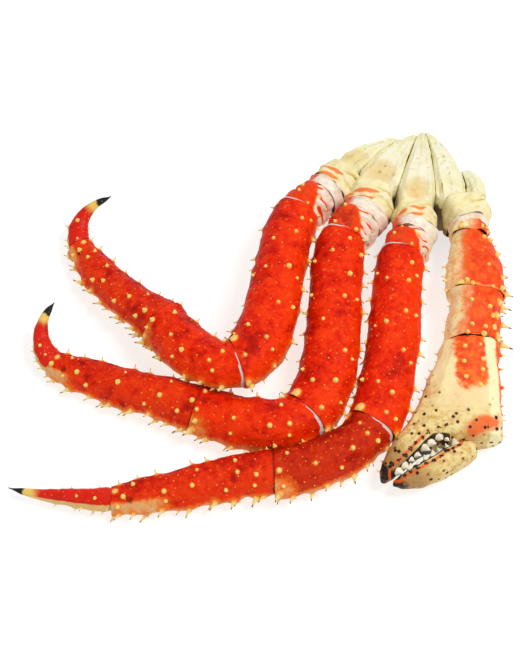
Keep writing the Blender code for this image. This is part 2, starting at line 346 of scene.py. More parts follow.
@finish
def claw_shell(g, where, red_share):
    """The claw arm's shells: cream, with a red-orange back. red_share moves the line between."""
    along, outer, face, thorn, inside = g.attributes("along outer face thorn inside")
    broad = g.noise(where, 48, 3)
    mottle = g.noise(where, 150, 5, 0.65)
    fine = g.noise(where, 700, 3, 0.6)
    red = g.coats(
        (234, 58, 6),
        ((250, 104, 22), mottle + broad * 0.4, 0.55, 0.9),
        ((206, 34, 8), mottle - broad * 0.3, 0.26, 0.16, 0.6),
    )
    line = outer + mottle * 0.8 + broad * 0.5 + red_share
    colour = g.coats(
        (246, 226, 170),
        ((240, 190, 112), mottle, 0.45, 0.75),
        (ORANGE, line, 0.15, 0.60, 0.55),
        (red, g.step(line, 0.40, 0.85) * g.step(face + mottle * 0.3, -0.35, 0.0)),
        ((246, 196, 120), along + mottle * 0.10, 0.99, 1.06, 0.6),
        (SPINE_CREAM, thorn + fine * 0.3, 0.65, 1.0, 0.9),
        ((84, 30, 12), g.cells(where, 190) + mottle * 0.1, 0.16, 0.08, 0.7),
        # Painted shade: dark inside the joint cup.
        ((84, 26, 12), inside * 0.9),
    )
    return colour, 0.38 + fine * 0.22, 0.2, fine * 0.4 + mottle * 0.8, 0.8


@finish
def palm_shell(g, where):
    """The palm: pinkish cream with an orange patch down its back and dark specks on the finger."""
    patch, strip, finger, hinge, mouth, tipward, face = g.attributes(
        "patch strip finger hinge mouth tipward face")
    broad = g.noise(where, 46, 3)
    mottle = g.noise(where, 180, 5, 0.65)
    fine = g.noise(where, 760, 3, 0.6)
    tan = g.mix((214, 170, 96), (240, 217, 148), g.step(mottle, 0.36, 0.60))
    orange = g.mix((250, 112, 20), (234, 58, 6), g.step(mottle + broad * 0.3, 0.55, 0.8))
    freckle = g.step(g.cells(where, 400) + mottle * 0.2, 0.34, 0.20)
    spots = g.cells(where, 170, 0.9) + broad * 0.16 + mottle * 0.1
    colour = g.coats(
        (246, 214, 158),
        ((244, 226, 168), broad, 0.35, 0.65),
        (tan, finger + mottle * 0.4, 0.35, 0.95),
        ((154, 98, 44), tipward + mottle * 0.5, 0.50, 1.00, 0.75),
        ((34, 24, 18), tipward + mottle * 0.3, 1.00, 1.12),
        ((248, 238, 186), strip + mottle * 0.4, 0.6, 1.0),
        ((250, 160, 82), patch + mottle * 1.0, 0.75, 1.30, 0.75),
        (orange, patch + mottle * 1.2 + fine * 0.3, 1.10, 1.60, 0.95),
        ((240, 92, 18), hinge + mottle * 1.0, 0.85, 1.30, 0.9),
        ((150, 92, 40), freckle * g.step(finger, 0.2, 0.9) * 0.55),
        ((196, 128, 62), g.step(spots, 0.50, 0.36) * g.step(finger + mottle, 0.7, 1.3) * 0.7),
        ((40, 22, 10), g.step(spots, 0.40, 0.31) * g.step(finger + mottle * 0.5, 0.45, 0.8)),
        # Painted shade: near black along the gap between the fingers.
        ((40, 20, 10), mouth + mottle * 0.3, 0.55, 0.9, 0.95),
        ((240, 214, 164), face + mottle * 0.4, -0.1, -0.55, 0.8),
    )
    return colour, 0.38 + fine * 0.2, 0.2, fine * 0.4 + mottle * 0.7, 0.6


@finish
def spine_horn(g, where, base, middle, tip):
    """A spine from its foot to its tip, by the attribute that its graph stores."""
    place = g.attributes("tip")[0] + (g.noise(where, 400, 2) - 0.5) * 0.12
    colour = g.node("ShaderNodeValToRGB", {
        "stops": ((0.0, base), (0.25, middle), (0.66, middle), (0.82, tip)),
    }, {"Fac": place})
    return colour, 0.45, 0.25


@finish
def plain_finish(g, where, light, dark, roughness):
    """Two shades that a noise blends, for teeth, bristles and other small things."""
    shade = g.noise(where, 380, 3)
    return g.mix(light, dark, g.step(shade, 0.35, 0.7)), roughness, 0.5, shade, 0.3


# Every finish, by the name of the part or kind that takes it.
FINISHES = {
    "red": red_shell("cooked_red_shell"),
    "propodus": red_shell("deep_red_shell", (238, 56, 8), (216, 30, 4), (150, 8, 2),
                          (232, 190, 128)),
    "leg_3_carpus": red_shell("dark_knee_shell", (208, 46, 6), (182, 26, 2), (130, 8, 2),
                              (232, 180, 118)),
    "ischium": red_shell("ring_red_shell", BRIGHT_RED, (240, 74, 30), (214, 40, 16)),
    "claw_merus": claw_shell("claw_arm_shell", 0.42),
    "claw_carpus": claw_shell("claw_wrist_shell", 0.30),
    "claw_ring": claw_shell("claw_ring_shell", -0.15),
    "toe_curled": toe_shell("curled_toe_horn", True),
    "toe_straight": toe_shell("straight_toe_horn", False),
    "plate": plate_shell("shoulder_plate_shell"),
    "coxa": coxa_shell("base_ring_shell"),
    "skin": joint_skin("joint_skin", 0.95),
    "claw_skin": joint_skin("claw_joint_skin", 0.12),
    "palm": palm_shell("palm_shell"),
    "thorns": spine_horn("thorn_horn", (246, 190, 96), (248, 220, 140), (58, 38, 26)),
    # Knobs: orange foot and yellow body, with a pale top that is a painted highlight.
    "knobs": spine_horn("knob_horn", (244, 130, 40), (244, 208, 98), (250, 232, 150)),
    "warts": plain_finish("wart_horn", (246, 88, 20), (250, 168, 78), 0.5),
    "teeth": plain_finish("tooth_enamel", (250, 244, 226), (238, 222, 182), 0.35),
    "bristles": plain_finish("bristle_black", (34, 24, 20), (70, 44, 28), 0.6),
}


def smooth_step(value, low, high):
    """A smooth step on numbers: 0 at low and 1 at high, or the other way round if high is less."""
    share = np.clip((value - low) / (high - low), 0, 1)
    return share * share * (3 - 2 * share)


def bump(value, middle, width):
    """A round bump that is 1 at its middle."""
    return np.exp(-((value - middle) / width) ** 2)


# ---------------------------------------------------------------- measuring the frame

def triangles(node):
    """A solid's triangles as an array of corners."""
    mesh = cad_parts[node].data
    verts = np.array([v.co for v in mesh.vertices])
    return verts[np.array([p.vertices[:3] for p in mesh.polygons])]


def flat_ends(node):
    """The flat joint faces of a solid, at most two, as (centre, outward normal) pairs."""
    tri = triangles(node)
    cross = np.cross(tri[:, 1] - tri[:, 0], tri[:, 2] - tri[:, 0])
    area = np.linalg.norm(cross, axis=1) / 2
    normal = cross / np.maximum(2 * area[:, None], 1e-12)
    offset = (normal * tri[:, 0]).sum(1)
    left = area > 0
    ends = []
    while left.any() and len(ends) < 2:
        seed = np.argmax(area * left)
        same = left & (normal @ normal[seed] > 0.99999) & (abs(offset - offset[seed]) < 0.02 * MM)
        left &= ~same
        if same.sum() >= 6:
            share = area[same]
            centre = (tri[same].mean(1) * share[:, None]).sum(0) / share.sum()
            ends.append((Vector(centre), Vector(normal[seed])))
    return ends


def section(tri, point, along):
    """The middle, half width and half thickness of a solid's section by a plane.

    An ellipse is fitted to the outline again and again, without the spines that stand out of it.
    """
    outer, face = section_axes(along)
    flat = (tri - np.array(point)) @ np.array([outer, face, along]).T
    level = flat[:, :, 2]
    cut = flat[(level.min(1) < 0) & (level.max(1) > 0)]
    outline = []
    for corners in cut:
        ends = []
        for k in range(3):
            a, b = corners[k], corners[(k + 1) % 3]
            if (a[2] < 0) != (b[2] < 0):
                ends.append(a + (b - a) * (a[2] / (a[2] - b[2])))
        pieces = max(2, int(np.linalg.norm(ends[1] - ends[0]) / (0.5 * MM)))
        outline += [ends[0] + (ends[1] - ends[0]) * (k + 0.5) / pieces for k in range(pieces)]
    u, v = np.array(outline)[:, 0], np.array(outline)[:, 1]
    terms = np.stack([u * u, v * v, u, v], 1) / MM ** 2
    keep = np.ones(len(u), bool)
    for _ in range(6):
        fit = np.linalg.lstsq(terms[keep], np.ones(keep.sum()), rcond=None)[0]
        keep = terms @ fit < 1.14
    middle = -fit[2:] / (2 * fit[:2])
    half = np.sqrt((MM ** 2 + (fit[:2] * middle ** 2).sum()) / fit[:2])
    return np.array(point) + np.array(outer) * middle[0] + np.array(face) * middle[1], half


def section_axes(along):
    """The outer side and the upper face of a shell that runs along this direction."""
    face = (UP - along * UP.dot(along)).normalized()
    return face.cross(along), face


def guide(start, start_facing, end, end_facing, t):
    """A point and direction on a smooth curve that is square to both joints."""
    span = (end - start).length * 0.75
    a, b = start_facing * span, end_facing * span
    point = (start * (2 * t ** 3 - 3 * t ** 2 + 1) + a * (t ** 3 - 2 * t ** 2 + t)
             + end * (3 * t ** 2 - 2 * t ** 3) + b * (t ** 3 - t ** 2))
    slope = (start * (6 * t ** 2 - 6 * t) + a * (3 * t ** 2 - 4 * t + 1)
             + end * (6 * t - 6 * t ** 2) + b * (3 * t ** 2 - 2 * t))
    return point, slope.normalized()


class Course:
    """The middle line of a solid between its joints, with its half width and half thickness.

    A toe draws in to a point from the share point_from on. Where socket is set, the near end
    starts at that half width and half thickness, to meet its neighbour.
    """

    point_from = 2.0
    socket = None
    joint_share = 0.12

    def __init__(self, node, start, start_facing, end, end_facing):
        self.node = node
        self.start, self.end = start, end
        self.start_facing, self.end_facing = start_facing, end_facing
        tri = triangles(node)
        shares = np.linspace(0.1, 0.9, 9)
        middles, halves = [np.array(start)], []
        for t in shares:
            middle, half = section(tri, *guide(start, start_facing, end, end_facing, t))
            middles.append(middle)
            halves.append(half)
        middles.append(np.array(end))
        places = np.concatenate([[0], shares, [1]])
        weights = np.ones(len(places))
        weights[[0, -1]] = 12
        self.line = np.polyfit(places, np.array(middles), 5, w=weights)
        self.slope = np.array([np.polyder(self.line[:, axis]) for axis in range(3)]).T
        self.half = np.polyfit(shares, np.array(halves), 3)
        fine = np.array([self.point(t) for t in np.linspace(0, 1, 60)])
        self.length = float(np.linalg.norm(np.diff(fine, axis=0), axis=1).sum())

    def point(self, t):
        """The middle at a share of the length. Past the ends it runs straight on."""
        inside = min(max(t, 0.0), 1.0)
        point = np.array([np.polyval(self.line[:, axis], inside) for axis in range(3)])
        if t != inside:
            point = point + np.array(self.along(inside)) * (t - inside) * self.length
        return point

    def along(self, t):
        """The direction of the middle line, turned square to the joints at its ends."""
        inside = min(max(t, 0.0), 1.0)
        slope = Vector([np.polyval(self.slope[:, axis], inside) for axis in range(3)]).normalized()
        near = max(0, 1 - inside / self.joint_share)
        far = max(0, 1 - (1 - inside) / self.joint_share)
        return slope.lerp(self.start_facing, near).lerp(self.end_facing, far).normalized()

    def size(self, t):
        """Half the width and half the thickness."""
        inside = min(max(t, 0.06), 0.94)
        half = np.array([np.polyval(self.half[:, axis], inside) for axis in range(2)])
        if self.socket is not None:
            half = self.socket + (half - self.socket) * smooth_step(t, -0.01, 0.14)
        return half * (1 - smooth_step(t, self.point_from, self.point_from + 0.2) * 0.86)


def limb_courses(limb, parts):
    """The course of each solid of a limb, from the shoulder outwards."""
    low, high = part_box("shoulder_plate_3")
    last = Vector(((low.x + high.x) / 2, high.y, high.z))
    courses = {}
    for part in parts:
        node = f"{limb}_{part}"
        near, far = sorted(flat_ends(node), key=lambda end: (end[0] - last).length)
        courses[part] = Course(node, near[0], -near[1], far[0], far[1])
        if part == "dactyl":
            courses[part].point_from = 0.82
        last = far[0]
    for inner, outer in (("merus", "carpus"), ("carpus", "propodus")):
        if outer in courses:
            fit = 0.93 if limb == "claw" else 0.965
            courses[outer].socket = courses[inner].size(1.0) * fit
    return courses


# ---------------------------------------------------------------- shells

def rumple(points, size, seed):
    """Smooth value noise from -1 to 1 at an array of points, with features this many mm wide."""
    cell = points / (size * MM) + seed * 17.31
    base = np.floor(cell).astype(np.int64)
    part = cell - base
    part = part * part * (3 - 2 * part)
    total = np.zeros(len(points))
    for corner in range(8):
        step = np.array([corner & 1, corner >> 1 & 1, corner >> 2 & 1])
        lattice = base + step
        mixed = lattice[:, 0] * 73856093 ^ lattice[:, 1] * 19349663 ^ lattice[:, 2] * 83492791
        mixed = (mixed ^ (mixed >> 13)) * 1274126177
        value = ((mixed ^ (mixed >> 16)) & 0xFFFF) / 32767.5 - 1
        weight = np.prod(np.where(step, part, 1 - part), axis=1)
        total += value * weight
    return total


def ball_rings(length, depth, reach, fullness):
    """Rings of a rounded near end, which sits in its neighbour: (share of length, fullness)."""
    rings = []
    for k in range(7):
        angle = math.pi / 2 * k / 7
        rings.append((-depth * math.cos(angle) / length, max(0.04, fullness * math.sin(angle))))
    for k in range(5):
        rise = math.sin(math.pi / 2 * k / 5)
        rings.append((reach * k / 5 / length, fullness + (1 - fullness) * rise))
    return rings


def cup_rings(length, depth):
    """Rings of a far end: a rim that turns in to a cup."""
    rings = [(1 - back * MM / length, 1.0) for back in (7, 4.5, 2.6, 1.2, 0.5)]
    rings += [(1 - back * MM / length, full) for back, full in
              ((0.1, 0.99), (0.0, 0.975), (0.2, 0.96), (1.0, 0.95), (2.4, 0.92))]
    return rings + [(1 - depth / length, 0.86), (1 - depth * 1.15 / length, 0.3)]


class Surface:
    """What a shell and a form have in common: points that are measured in millimetres."""

    def rumple(self, size, seed):
        return rumple(self.points, size, seed)

    def gap(self, point, radius=1):
        """How far each point is from a place, as a share of a radius."""
        return np.linalg.norm(self.points - np.array(point), axis=1) / (radius * MM)


class Shell(Surface):
    """A fine tube of rings round a course. Points are kept as an array, ring by ring."""

    def __init__(self, course, square=2.3, spacing=1.25, near=(5, 9), cup=5.0, snug=0.94):
        self.course = course
        length = course.length
        near_rings = ball_rings(length, near[0] * MM, near[1] * MM, snug)
        far_rings = cup_rings(length, cup * MM)
        first, last = near[1] * MM / length, 1 - 7 * MM / length
        if last - first > 0.05:
            count = max(2, round((last - first) * length / (spacing * MM)))
            middle = [(first + (last - first) * i / count, 1.0) for i in range(count)]
        else:
            near_rings = [ring for ring in near_rings if ring[0] < 0.45]
            far_rings = [ring for ring in far_rings if ring[0] > 0.5 or ring[1] < 0.9]
            middle = []
        self.rings = near_rings + middle + far_rings
        widest = max(course.size(0.5))
        self.sides = int(max(40, min(110, 2 * math.pi * widest / (spacing * MM))))
        self.build(square)

    def build(self, square):
        """Fills in every point with its share along, its angle, and its outward direction."""
        angles = 2 * math.pi * np.arange(self.sides) / self.sides
        c, s = np.cos(angles), np.sin(angles)
        across = np.sign(c) * abs(c) ** (2 / square)
        upward = np.sign(s) * abs(s) ** (2 / square)
        points, outward, shares = [], [], []
        for share, fullness in self.rings:
            along = self.course.along(share)
            outer, face = (np.array(axis) for axis in section_axes(along))
            half = self.course.size(share) * fullness
            points.append(self.course.point(share) + np.outer(across * half[0], outer)
                          + np.outer(upward * half[1], face))
            out = np.outer(c, outer) + np.outer(s, face)
            outward.append(out)
            shares.append(np.full(self.sides, share))
        self.points = np.concatenate(points)
        self.outward = np.concatenate(outward)
        self.share = np.concatenate(shares)
        self.angle = np.tile(angles, len(self.rings))
        self.outer, self.face = np.cos(self.angle), np.sin(self.angle)
        self.fullness = np.repeat([full for _, full in self.rings], self.sides)
        # The last rings, inside the far cup, are marked for dark painted shade.
        rim = len(self.rings) - 5
        self.inside = np.repeat(np.arange(len(self.rings)) > rim, self.sides).astype(float)
        self.thorn = np.zeros(len(self.points))

    def push(self, amount):
        """Moves each point out by an amount in millimetres."""
        self.points = self.points + self.outward * (amount * MM)[:, None]

    def at(self, share, degrees):
        """A point on the shell and its outward direction, at a share along and an angle."""
        ring = int(np.argmin([abs(s - share) + (full < 0.98) for s, full in self.rings]))
        side = round(math.radians(degrees) / (2 * math.pi) * self.sides) % self.sides
        index = ring * self.sides + side
        return self.points[index], self.outward[index]

    def swell(self, share, degrees, radius, height, mark=1.0):
        """A round rise in the shell, as at the foot of a spine. mark says how pale it turns."""
        point, _ = self.at(share, degrees)
        gap = self.gap(point, radius)
        self.push(height * np.exp(-gap * gap))
        self.thorn = np.maximum(self.thorn, mark * np.exp(-gap * gap))

    def piece(self, slot, material, ending="shell", **extra):
        """The shell as a closed, smooth piece with its attributes, in place of its solid."""
        name = f"{self.course.node}_{ending}"
        count, sides = len(self.rings), self.sides
        first = np.arange(count - 1)[:, None] * sides + np.arange(sides)[None, :]
        after = np.arange(count - 1)[:, None] * sides + (np.arange(sides)[None, :] + 1) % sides
        quads = np.stack([first, after, after + sides, first + sides], -1).reshape(-1, 4)
        poles = [self.points[:sides].mean(0), self.points[-sides:].mean(0)]
        verts = np.concatenate([self.points, poles])
        near_pole, far_pole = len(self.points), len(self.points) + 1
        end = (count - 1) * sides
        caps = [(near_pole, (k + 1) % sides, k) for k in range(sides)]
        caps += [(far_pole, end + k, end + (k + 1) % sides) for k in range(sides)]
        mesh = bpy.data.meshes.new(name)
        mesh.from_pydata(verts.tolist(), [], quads.tolist() + caps)
        values = {
            "along": self.share, "outer": self.outer, "face": self.face,
            "thorn": self.thorn, "inside": self.inside, "skin": np.zeros(len(self.points)),
            "folded": np.zeros(len(self.points)), **extra,
        }
        for key, value in values.items():
            add_attribute(mesh, key, np.concatenate([value, value[:1], value[-1:]]))
        return register(add_piece(name, mesh, material), slot, self.course.node)


def add_attribute(mesh, name, values):
    layer = mesh.attributes.new(name, "FLOAT", "POINT")
    layer.data.foreach_set("value", np.ascontiguousarray(values, np.float32))


def add_object(name, data):
    made = bpy.data.objects.new(name, data)
    bpy.context.scene.collection.objects.link(made)
    return made


def rest_on_floor(mesh):
    """Flattens what would dip below the floor."""
    points = np.empty(len(mesh.vertices) * 3)
    mesh.vertices.foreach_get("co", points)
    points[2::3] = np.maximum(points[2::3], 0)
    mesh.vertices.foreach_set("co", points)
    mesh.update()


def add_piece(name, mesh, material):
    """Makes a smooth object of a mesh whose faces are turned to point out."""
    bm = bmesh.new()
    bm.from_mesh(mesh)
    bmesh.ops.recalc_face_normals(bm, faces=bm.faces)
    bm.to_mesh(mesh)
    bm.free()
    rest_on_floor(mesh)
    mesh.shade_smooth()
    mesh.materials.append(material)
    return add_object(name, mesh)


def register(piece, slot, *nodes):
    """Ties a finished piece to the frame."""
    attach(piece, "root")
    if nodes:
        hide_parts(*nodes)
    return piece


# ---------------------------------------------------------------- spines, warts and bristles

class SpineField:
    """Places for spines, each with its direction, girth and height, in millimetres."""

    def __init__(self):
        self.rows = []

    def add(self, point, pointing, girth, height):
        self.rows.append((tuple(point), tuple(pointing), girth, height))

    def points_mesh(self, name):
        mesh = bpy.data.meshes.new(name)
        points, pointing, girth, height = zip(*self.rows)
        mesh.from_pydata(points, [], [])
        layer = mesh.attributes.new("pointing", "FLOAT_VECTOR", "POINT")
        layer.data.foreach_set("vector", np.array(pointing).ravel())
        add_attribute(mesh, "girth", np.array(girth) * MM)
        add_attribute(mesh, "height", np.array(height) * MM)
        return mesh


def growth_graph(name, *inputs):
    """A geometry graph with a mesh and named inputs: the Graph, and the inputs' Wires."""
    tree = bpy.data.node_groups.new(name, "GeometryNodeTree")
    for label, kind in (("Geometry", "Geometry"), *inputs, ("Finish", "Material")):
        tree.interface.new_socket(name=label, in_out="INPUT", socket_type=f"NodeSocket{kind}")
    tree.interface.new_socket(name="Geometry", in_out="OUTPUT", socket_type="NodeSocketGeometry")
    g = Graph(tree)
    source = tree.nodes.new("NodeGroupInput")
    return g, {port.name: Wire(g, port) for port in source.outputs if port.name}


def stored(g, name, kind="FLOAT"):
    return g.node("GeometryNodeInputNamedAttribute", {"data_type": kind}, {"Name": name})


def store_tip(g, shape, height):
    """Stores how far up the shape a point is, for its finish."""
    return g.node("GeometryNodeStoreNamedAttribute", {"data_type": "FLOAT", "domain": "POINT"}, {
        "Geometry": shape, "Name": "tip", "Value": height,
    })


def plant(g, points, shape, turn, size, material):
    """Ends a geometry graph with a real, smooth copy of the shape on each point."""
    grown = g.node("GeometryNodeInstanceOnPoints", {}, {
        "Points": points, "Instance": shape, "Rotation": turn, "Scale": size,
    })
    grown = g.node("GeometryNodeRealizeInstances", {}, {0: grown})
    grown = g.node("GeometryNodeSetShadeSmooth", {}, {0: grown})
    grown = g.node("GeometryNodeSetMaterial", {}, {"Geometry": grown, "Material": material})
    g.node("NodeGroupOutput", {}, {0: grown})
    return g.tree


def spine_tree():
    """Geometry graph: a curved, pointed cone on each point, sized and aimed by its attributes."""
    g, entry = growth_graph("spines_on_points", ("Sides", "Int"), ("Hook", "Float"),
                            ("Bluntness", "Float"))
    cone = g.node("GeometryNodeMeshCone", {"fill_type": "NGON"}, {
        "Vertices": entry["Sides"], "Side Segments": 6, "Radius Top": 0.05,
        "Radius Bottom": 1.0, "Depth": 1.0,
    }, "Mesh")
    place = g.node("GeometryNodeInputPosition")
    x, y, z = (g.node("ShaderNodeSeparateXYZ", {}, {0: place}, axis) for axis in range(3))
    waist = 1 - z * (1 - z) * 4 * (0.55 - entry["Bluntness"])
    bent = g.node("ShaderNodeCombineXYZ", {}, {
        0: x * waist + z * z * entry["Hook"], 1: y * waist, 2: z,
    })
    cone = g.node("GeometryNodeSetPosition", {}, {"Geometry": cone, "Position": bent})
    cone = store_tip(g, cone, z)
    girth, height = stored(g, "girth"), stored(g, "height")
    turn = g.node("FunctionNodeAlignRotationToVector", {"axis": "Z"}, {
        "Vector": stored(g, "pointing", "FLOAT_VECTOR"),
    })
    size = g.node("ShaderNodeCombineXYZ", {}, {0: girth, 1: girth, 2: height})
    return plant(g, entry["Geometry"], cone, turn, size, entry["Finish"])


def scatter_tree():
    """Geometry graph: small domes scattered over a shell where an attribute lets them."""
    g, entry = growth_graph("warts_on_shell", ("Spacing", "Float"), ("Density", "Float"),
                            ("Seed", "Int"), ("Smallest", "Float"), ("Largest", "Float"),
                            ("Height", "Float"))
    spread = g.tree.nodes.new("GeometryNodeDistributePointsOnFaces")
    spread.distribute_method = "POISSON"
    for name, wire in (("Mesh", entry["Geometry"]), ("Distance Min", entry["Spacing"]),
                       ("Density Max", entry["Density"]), ("Density Factor", stored(g, "warty")),
                       ("Seed", entry["Seed"])):
        g.tree.links.new(wire.socket, spread.inputs[name])
    points, turn = Wire(g, spread.outputs["Points"]), Wire(g, spread.outputs["Rotation"])
    dome = g.node("GeometryNodeMeshIcoSphere", {}, {"Radius": 1.0, "Subdivisions": 1}, "Mesh")
    z = g.node("ShaderNodeSeparateXYZ", {}, {0: g.node("GeometryNodeInputPosition")}, 2)
    dome = store_tip(g, dome, z)
    width = g.node("FunctionNodeRandomValue", {"data_type": "FLOAT"}, {
        2: entry["Smallest"], 3: entry["Largest"], "Seed": entry["Seed"],
    }, 1)
    size = g.node("ShaderNodeCombineXYZ", {}, {0: width, 1: width, 2: width * entry["Height"]})
    return plant(g, points, dome, turn, size, entry["Finish"])


def grow(name, mesh, tree, values, material):
    """Runs a geometry graph on a mesh and keeps its result as a plain mesh object."""
    carrier = add_object(f"{name}_source", mesh)
    modifier = carrier.modifiers.new("grow", "NODES")
    modifier.node_group = tree
    ports = {port.name: port.identifier for port in tree.interface.items_tree
             if port.in_out == "INPUT"}
    for key, value in {**values, "Finish": material}.items():
        modifier[ports[key]] = value
    bpy.context.view_layer.update()
    graph = bpy.context.evaluated_depsgraph_get()
    grown = bpy.data.meshes.new_from_object(carrier.evaluated_get(graph))
    grown.name = name
    rest_on_floor(grown)
    bpy.data.objects.remove(carrier)
    return add_object(name, grown)


# ---------------------------------------------------------------- spines along the limbs

# How each kind of spine is drawn, and the slot of its piece.
SPINE_SHAPES = {
    "teeth": ("claw_cream", {"Sides": 7, "Hook": 0.3, "Bluntness": 0.5}),
    "bristles": ("claw_cream", {"Sides": 4, "Hook": 0.8, "Bluntness": 0.5}),
    "thorns": ("shell_cream", {"Sides": 10, "Hook": 0.35, "Bluntness": 0.22}),
    "knobs": ("shell_cream", {"Sides": 10, "Hook": 0.1, "Bluntness": 0.95}),
}
# How far the foot of a spine is sunk in its shell, in millimetres, on the limbs and on the palm.
SPINE_SUNK = 0.5
PALM_SUNK = 0.4
# The warts between the spines.
WARTS = {
    "Spacing": 4.2 * MM, "Density": 20000.0, "Smallest": 0.35 * MM, "Largest": 0.85 * MM,
    "Height": 0.7,
}

# Rows of spines on a shell: angle round it (0 is the outer side, 90 the upper face), shares of the
# length between which they stand, how many, girth, height, and how far they lean to the tip.
SPINE_ROWS = {
    "merus": (
        (2, 0.06, 0.97, 8, 2.3, 4.2, 0.45), (-24, 0.12, 0.95, 5, 1.9, 4.0, 0.6),
        (38, 0.14, 0.90, 4, 1.7, 2.2, 0.4), (68, 0.10, 0.94, 6, 1.9, 2.6, 0.35),
        (106, 0.22, 0.82, 3, 1.7, 2.3, 0.35), (140, 0.12, 0.80, 3, 1.5, 2.2, 0.35),
        (176, 0.06, 0.95, 8, 1.9, 4.0, 0.55), (200, 0.15, 0.9, 4, 1.7, 3.6, 0.6),
    ),
    "carpus": (
        (-4, 0.10, 0.97, 6, 2.8, 5.8, 0.8), (-26, 0.2, 0.90, 4, 2.3, 5.0, 0.8),
        (34, 0.15, 0.92, 3, 1.8, 2.6, 0.4), (68, 0.16, 0.93, 4, 2.0, 2.8, 0.35),
        (104, 0.25, 0.80, 2, 1.7, 2.4, 0.35), (156, 0.2, 0.97, 4, 1.9, 3.0, 0.4),
    ),
    "propodus": (
        (-6, 0.05, 0.94, 8, 2.5, 6.6, 1.1), (-28, 0.10, 0.97, 6, 2.1, 6.0, 1.2),
        (38, 0.12, 0.88, 4, 1.7, 2.4, 0.4), (74, 0.08, 0.92, 5, 1.9, 2.6, 0.35),
        (112, 0.2, 0.85, 3, 1.5, 2.2, 0.35), (156, 0.06, 0.95, 7, 1.8, 3.2, 0.5),
    ),
    "ischium": ((66, 0.4, 0.8, 2, 1.8, 2.6, 0.3), (20, 0.35, 0.85, 2, 1.9, 3.0, 0.3),
                (118, 0.3, 0.8, 2, 1.6, 2.4, 0.3)),
    "dactyl": ((8, 0.05, 0.3, 3, 1.7, 3.6, 0.5), (80, 0.12, 0.4, 2, 1.8, 2.6, 0.3),
               (-30, 0.08, 0.5, 4, 1.3, 3.0, 0.7), (170, 0.1, 0.5, 4, 1.1, 2.0, 0.4)),
    "claw_merus": (
        (4, 0.10, 0.97, 6, 2.5, 4.8, 0.4), (32, 0.2, 0.97, 4, 2.0, 3.2, 0.3),
        (64, 0.15, 0.97, 3, 1.8, 2.6, 0.3), (100, 0.90, 0.97, 2, 1.9, 2.6, 0.3),
        (-22, 0.1, 0.9, 5, 2.1, 4.4, 0.4), (174, 0.5, 0.97, 4, 1.9, 3.0, 0.3),
    ),
    "claw_carpus": (
        (2, 0.12, 0.95, 3, 3.2, 9.0, 0.25), (24, 0.2, 0.95, 4, 2.6, 4.6, 0.25),
        (-20, 0.15, 0.9, 4, 2.8, 6.6, 0.25), (66, 0.2, 0.97, 3, 2.0, 3.0, 0.2),
        (100, 0.15, 0.97, 3, 1.8, 2.6, 0.2), (176, 0.3, 0.95, 4, 1.5, 2.2, 0.2),
    ),
}


def grow_row(shell, fields, row, rng, scale=1.0):
    """Stands one row on a shell: thorns at its sides, knobs on its face, each on a swelling."""
    angle, first, last, count, girth, height, lean = row
    for index in range(count):
        share = first + (last - first) * (index + rng.uniform(-0.28, 0.28)) / max(1, count - 1)
        share = min(max(share, 0.03), 0.975)
        turn = angle + rng.uniform(-7, 7)
        size = scale * rng.uniform(0.75, 1.25)
        on_face = math.sin(math.radians(turn)) > 0.5
        shell.swell(share, turn, girth * 1.9, 0.28 * height * size, 0.55 if on_face else 1.0)
        point, out = shell.at(share, turn)
        pointing = Vector(out) + shell.course.along(share) * lean * rng.uniform(0.6, 1.3)
        sunk = Vector(point) - Vector(out) * SPINE_SUNK * MM
        fields["knobs" if on_face else "thorns"].add(
            sunk, pointing.normalized(), girth * size, (height + SPINE_SUNK) * size)


def warty_mask(shell):
    """Where warts may stand: on the visible side, away from the joints."""
    side = smooth_step(shell.face, -0.5, 0.1)
    ends = smooth_step(shell.share, 0.02, 0.08) * smooth_step(shell.share, 0.98, 0.93)
    return side * ends * (shell.fullness > 0.97)


def tan_places(part, shell, straight):
    """Where a shell turns tan: its lower edge, and for the outer segments its far outer corner."""
    outer, face = shell.outer, shell.face
    edge = smooth_step(outer - face * 0.7, 0.75, 1.25)
    if part == "propodus":
        start = 0.50 if straight else 0.66
        far = smooth_step(shell.share, start, start + 0.26)
        far *= smooth_step(outer - face * 0.4, -0.1, 0.6)
        return np.maximum(edge, far) * 0.88
    corner = 1.25 - np.hypot((1 - shell.share) / 0.24, (1 - outer + 0.4 * face) / 0.9)
    corner = np.clip(corner, 0, 1)
    if part == "merus":
        return 0.85 * smooth_step(outer - face * 0.7, 0.55, 1.20)
    return np.maximum(edge, corner)


